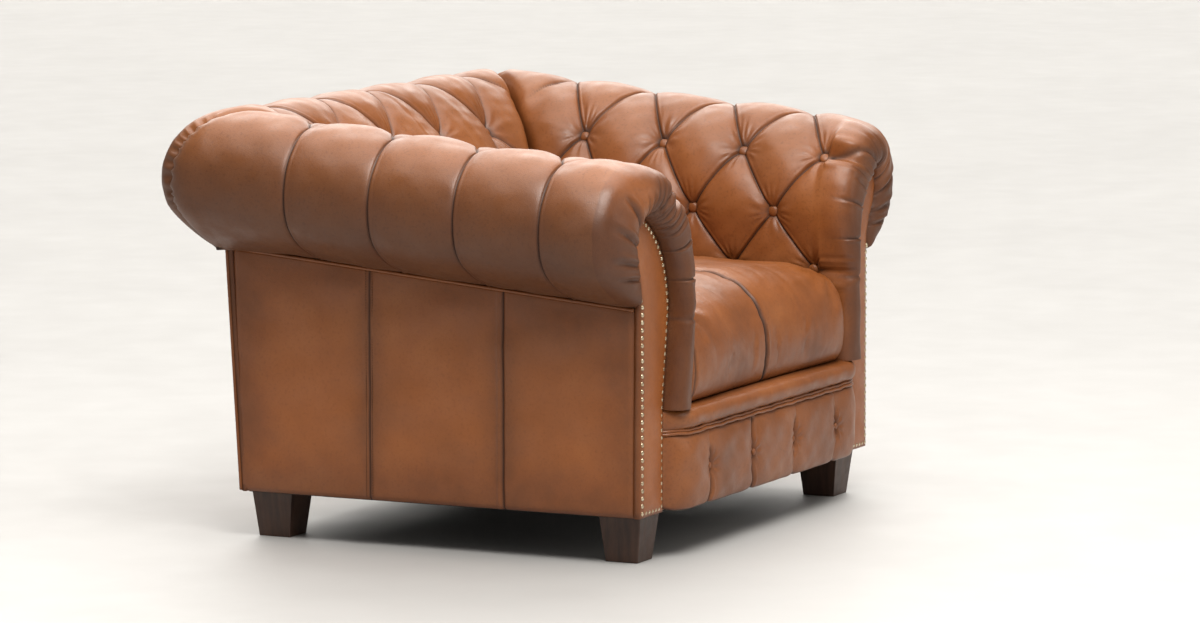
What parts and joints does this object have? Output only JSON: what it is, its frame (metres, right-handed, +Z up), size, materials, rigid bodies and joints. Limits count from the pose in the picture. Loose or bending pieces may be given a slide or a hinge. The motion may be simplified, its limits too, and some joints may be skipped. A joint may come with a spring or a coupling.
{
  "type": "tufted leather armchair",
  "caption": "Low rolled-arm club armchair in button-tufted cognac leather, with a loose seat cushion, nailhead-trimmed scroll facings and tapered dark wood legs.",
  "frame": {"origin": "on the floor, under the middle of the overall box", "axes": "+Z up, -Y towards the front of the seat, +X to the right as seen from the front"},
  "size_m": [1.286, 0.9409, 0.7571],
  "materials": {
    "frame_timber": "sawn hardwood",
    "bent_board": "thin bent board",
    "spring_steel": "oiled spring steel",
    "deck_cloth": "woven seat deck cloth over felt",
    "cushion_leather": "hand-rubbed cognac leather",
    "cushion_foam": "foam in wadding",
    "tufted_leather": "hand-rubbed cognac leather, darker in the pleats",
    "button_leather": "leather-covered button",
    "panel_leather": "hand-rubbed cognac leather, darker at the seams",
    "piping_leather": "rolled leather piping",
    "nail_brass": "antiqued dome nails",
    "dust_cloth": "black non-woven cloth",
    "leg_wood": "dark espresso stain, satin",
    "bolt_steel": "zinc-plated steel"
  },
  "bodies": {
    "chair": {"arm_base_rail_left": "frame_timber", "arm_base_rail_right": "frame_timber", "arm_board_left": "bent_board", "arm_board_right": "bent_board", "arm_buttons_left": "button_leather", "arm_buttons_right": "button_leather", "arm_pad_left": "tufted_leather", "arm_pad_right": "tufted_leather", "arm_rib_left": "frame_timber", "arm_rib_right": "frame_timber", "arm_roll_rail_left": "frame_timber", "arm_roll_rail_right": "frame_timber", "arm_stump_left": "frame_timber", "arm_stump_right": "frame_timber", "arm_welt_left": "piping_leather", "arm_welt_right": "piping_leather", "back_base_rail": "frame_timber", "back_board": "bent_board", "back_buttons": "button_leather", "back_pad": "tufted_leather", "back_post_left": "frame_timber", "back_post_right": "frame_timber", "back_ribs": "frame_timber", "back_roll_rail": "frame_timber", "back_welt": "piping_leather", "border_buttons": "button_leather", "corner_blocks": "frame_timber", "dust_cover": "dust_cloth", "front_band": "tufted_leather", "front_border": "tufted_leather", "front_facing_left": "panel_leather", "front_facing_right": "panel_leather", "front_seat_rail": "frame_timber", "front_welt": "piping_leather", "leg_bolts": "bolt_steel", "leg_front_left": "leg_wood", "leg_front_right": "leg_wood", "leg_nuts": "bolt_steel", "leg_rear_left": "leg_wood", "leg_rear_right": "leg_wood", "nailheads_left": "nail_brass", "nailheads_right": "nail_brass", "outside_arm_panel_left": "panel_leather", "outside_arm_panel_right": "panel_leather", "outside_back_panel": "panel_leather", "rear_seat_rail": "frame_timber", "seat_deck": "deck_cloth", "seat_springs": "spring_steel", "side_seat_rail_left": "frame_timber", "side_seat_rail_right": "frame_timber", "spring_clips": "spring_steel"},
    "seat_cushion": {"seat_cushion_core": "cushion_foam", "seat_cushion_cover": "cushion_leather"}
  },
  "joints": [
    {"name": "seat_cushion_lift", "type": "slide", "parent": "chair", "child": "seat_cushion", "axis": [0, 0, 1], "range_m": [0, 0.5]}
  ]
}
